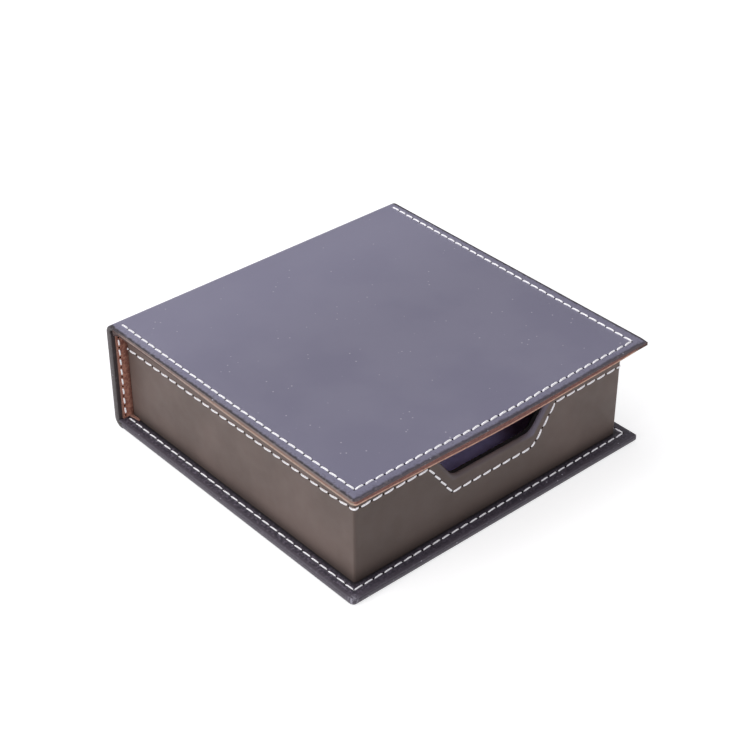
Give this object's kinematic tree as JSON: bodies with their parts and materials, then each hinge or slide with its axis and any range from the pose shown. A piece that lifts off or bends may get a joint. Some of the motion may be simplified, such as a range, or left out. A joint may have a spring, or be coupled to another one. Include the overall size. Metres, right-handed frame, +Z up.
{
  "type": "leather memo pad box",
  "caption": "Book-style leather case with a lid hinged at its spine, holding an open tray for loose note sheets with a finger notch in the front wall.",
  "frame": {"origin": "middle of the footprint, on the surface that the box stands on", "axes": "+Z up, -Y towards the finger notch and the lid's free edge, +Y towards the spine, X along the spine"},
  "size_m": [0.114, 0.113, 0.0372],
  "materials": {
    "cover_leather": "smooth dark smoke-violet split leather with a thin satin coat",
    "lining_leather": "reddish brown lining leather with raw cut edges",
    "tray_leather": "dark brown-grey leather over the tray walls, satin",
    "greyboard": "bare grey bookbinding board",
    "wall_lining": "near-black matt wall lining",
    "floor_lining": "blue-violet short-pile floor lining",
    "seam_thread": "white bonded lockstitch thread"
  },
  "bodies": {
    "case": {"hinge_leather": "cover_leather", "hinge_lining": "lining_leather", "base_fold_leather": "cover_leather", "spine_cover_leather": "cover_leather", "spine_board": "greyboard", "spine_lining": "lining_leather", "spine_thread_inner_left": "seam_thread", "spine_thread_outer_left": "seam_thread", "spine_thread_inner_right": "seam_thread", "spine_thread_outer_right": "seam_thread", "base_cover_leather": "cover_leather", "base_board": "greyboard", "base_top_leather": "cover_leather", "base_thread_top": "seam_thread", "base_thread_under": "seam_thread", "tray_board_left": "greyboard", "tray_board_right": "greyboard", "tray_board_rear": "greyboard", "tray_board_front": "greyboard", "tray_lining_left": "wall_lining", "tray_lining_right": "wall_lining", "tray_lining_rear": "wall_lining", "tray_lining_front": "wall_lining", "tray_floor_board": "greyboard", "tray_floor_lining": "floor_lining", "tray_leather_wrap": "tray_leather", "tray_thread": "seam_thread"},
    "lid": {"lid_cover_leather": "cover_leather", "lid_board": "greyboard", "lid_lining": "lining_leather", "lid_thread_top": "seam_thread", "lid_thread_under": "seam_thread"}
  },
  "joints": [
    {"name": "lid_hinge", "type": "hinge", "parent": "case", "child": "lid", "pos_m": [0, 0.05514, 0.03564], "axis": [-1, 0, 0], "range_deg": [0, 197], "deforming": ["hinge_leather", "hinge_lining"]}
  ]
}
